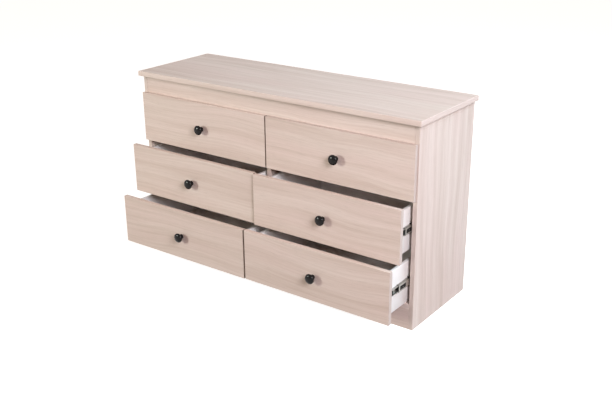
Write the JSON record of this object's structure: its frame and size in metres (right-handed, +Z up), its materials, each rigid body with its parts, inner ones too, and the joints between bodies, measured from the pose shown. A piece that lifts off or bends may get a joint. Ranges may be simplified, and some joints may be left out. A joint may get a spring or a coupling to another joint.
{
  "type": "chest of drawers",
  "caption": "Low wide chest of drawers in pale wood-effect board: overhanging top, plinth, overlaid fronts with round black knobs, white boxes on telescopic ball slides.",
  "frame": {"origin": "on the floor, under the middle of the whole box of the chest as stored, open drawers and knobs included", "axes": "+X to the right seen from the front, +Y to the back, +Z up; the drawers open towards -Y"},
  "size_m": [1.2, 0.5474, 0.718],
  "materials": {
    "laminate_board": "pale pinkish-beige ash-effect melamine with a fine straight grain, satin",
    "white_board": "white foil-wrapped board, satin",
    "hardboard_white": "thin hardboard, painted white above and brown below",
    "hardboard": "thin brown hardboard, matt",
    "slide_steel": "bright zinc-plated sheet steel",
    "black_gloss": "smooth gloss black"
  },
  "bodies": {
    "carcass": {"top_panel": "laminate_board", "left_side_panel": "laminate_board", "right_side_panel": "laminate_board", "top_rail": "laminate_board", "bottom_panel": "laminate_board", "front_plinth": "laminate_board", "rear_plinth": "laminate_board", "centre_divider": "laminate_board", "left_back_sheet": "hardboard", "right_back_sheet": "hardboard", "top_left_outer_cabinet_member": "slide_steel", "top_left_inner_cabinet_member": "slide_steel", "top_right_outer_cabinet_member": "slide_steel", "top_right_inner_cabinet_member": "slide_steel", "middle_left_outer_cabinet_member": "slide_steel", "middle_left_inner_cabinet_member": "slide_steel", "middle_right_outer_cabinet_member": "slide_steel", "middle_right_inner_cabinet_member": "slide_steel", "bottom_left_outer_cabinet_member": "slide_steel", "bottom_left_inner_cabinet_member": "slide_steel", "bottom_right_outer_cabinet_member": "slide_steel", "bottom_right_inner_cabinet_member": "slide_steel"},
    "top_left_drawer": {"top_left_drawer_front": "laminate_board", "top_left_drawer_knob": "black_gloss", "top_left_drawer_box": "white_board", "top_left_drawer_bottom": "hardboard_white"},
    "top_left_intermediates": {"top_left_outer_intermediate_member": "slide_steel", "top_left_inner_intermediate_member": "slide_steel"},
    "top_right_drawer": {"top_right_drawer_front": "laminate_board", "top_right_drawer_knob": "black_gloss", "top_right_drawer_box": "white_board", "top_right_drawer_bottom": "hardboard_white"},
    "top_right_intermediates": {"top_right_outer_intermediate_member": "slide_steel", "top_right_inner_intermediate_member": "slide_steel"},
    "middle_left_drawer": {"middle_left_drawer_front": "laminate_board", "middle_left_drawer_knob": "black_gloss", "middle_left_drawer_box": "white_board", "middle_left_drawer_bottom": "hardboard_white"},
    "middle_left_intermediates": {"middle_left_outer_intermediate_member": "slide_steel", "middle_left_inner_intermediate_member": "slide_steel"},
    "middle_right_drawer": {"middle_right_drawer_front": "laminate_board", "middle_right_drawer_knob": "black_gloss", "middle_right_drawer_box": "white_board", "middle_right_drawer_bottom": "hardboard_white"},
    "middle_right_intermediates": {"middle_right_outer_intermediate_member": "slide_steel", "middle_right_inner_intermediate_member": "slide_steel"},
    "bottom_left_drawer": {"bottom_left_drawer_front": "laminate_board", "bottom_left_drawer_knob": "black_gloss", "bottom_left_drawer_box": "white_board", "bottom_left_drawer_bottom": "hardboard_white"},
    "bottom_left_intermediates": {"bottom_left_outer_intermediate_member": "slide_steel", "bottom_left_inner_intermediate_member": "slide_steel"},
    "bottom_right_drawer": {"bottom_right_drawer_front": "laminate_board", "bottom_right_drawer_knob": "black_gloss", "bottom_right_drawer_box": "white_board", "bottom_right_drawer_bottom": "hardboard_white"},
    "bottom_right_intermediates": {"bottom_right_outer_intermediate_member": "slide_steel", "bottom_right_inner_intermediate_member": "slide_steel"}
  },
  "joints": [
    {"name": "top_left_drawer_slide", "type": "slide", "parent": "carcass", "child": "top_left_drawer", "axis": [0, -1, 0], "range_m": [0, 0.35]},
    {"name": "top_left_intermediate_slide", "type": "slide", "parent": "carcass", "child": "top_left_intermediates", "axis": [0, -1, 0], "range_m": [0, 0.175]},
    {"name": "top_right_drawer_slide", "type": "slide", "parent": "carcass", "child": "top_right_drawer", "axis": [0, -1, 0], "range_m": [0, 0.35]},
    {"name": "top_right_intermediate_slide", "type": "slide", "parent": "carcass", "child": "top_right_intermediates", "axis": [0, -1, 0], "range_m": [0, 0.175]},
    {"name": "middle_left_drawer_slide", "type": "slide", "parent": "carcass", "child": "middle_left_drawer", "axis": [0, -1, 0], "range_m": [-0.0665, 0.2835]},
    {"name": "middle_left_intermediate_slide", "type": "slide", "parent": "carcass", "child": "middle_left_intermediates", "axis": [0, -1, 0], "range_m": [-0.03325, 0.14175]},
    {"name": "middle_right_drawer_slide", "type": "slide", "parent": "carcass", "child": "middle_right_drawer", "axis": [0, -1, 0], "range_m": [-0.075, 0.275]},
    {"name": "middle_right_intermediate_slide", "type": "slide", "parent": "carcass", "child": "middle_right_intermediates", "axis": [0, -1, 0], "range_m": [-0.0375, 0.1375]},
    {"name": "bottom_left_drawer_slide", "type": "slide", "parent": "carcass", "child": "bottom_left_drawer", "axis": [0, -1, 0], "range_m": [-0.1335, 0.2165]},
    {"name": "bottom_left_intermediate_slide", "type": "slide", "parent": "carcass", "child": "bottom_left_intermediates", "axis": [0, -1, 0], "range_m": [-0.06675, 0.10825]},
    {"name": "bottom_right_drawer_slide", "type": "slide", "parent": "carcass", "child": "bottom_right_drawer", "axis": [0, -1, 0], "range_m": [-0.1315, 0.2185]},
    {"name": "bottom_right_intermediate_slide", "type": "slide", "parent": "carcass", "child": "bottom_right_intermediates", "axis": [0, -1, 0], "range_m": [-0.06575, 0.10925]}
  ],
  "couplings": [
    {"joint": "top_left_intermediate_slide", "follows": "top_left_drawer_slide", "ratio": 0.5},
    {"joint": "top_right_intermediate_slide", "follows": "top_right_drawer_slide", "ratio": 0.5},
    {"joint": "middle_left_intermediate_slide", "follows": "middle_left_drawer_slide", "ratio": 0.5},
    {"joint": "middle_right_intermediate_slide", "follows": "middle_right_drawer_slide", "ratio": 0.5},
    {"joint": "bottom_left_intermediate_slide", "follows": "bottom_left_drawer_slide", "ratio": 0.5},
    {"joint": "bottom_right_intermediate_slide", "follows": "bottom_right_drawer_slide", "ratio": 0.5}
  ]
}
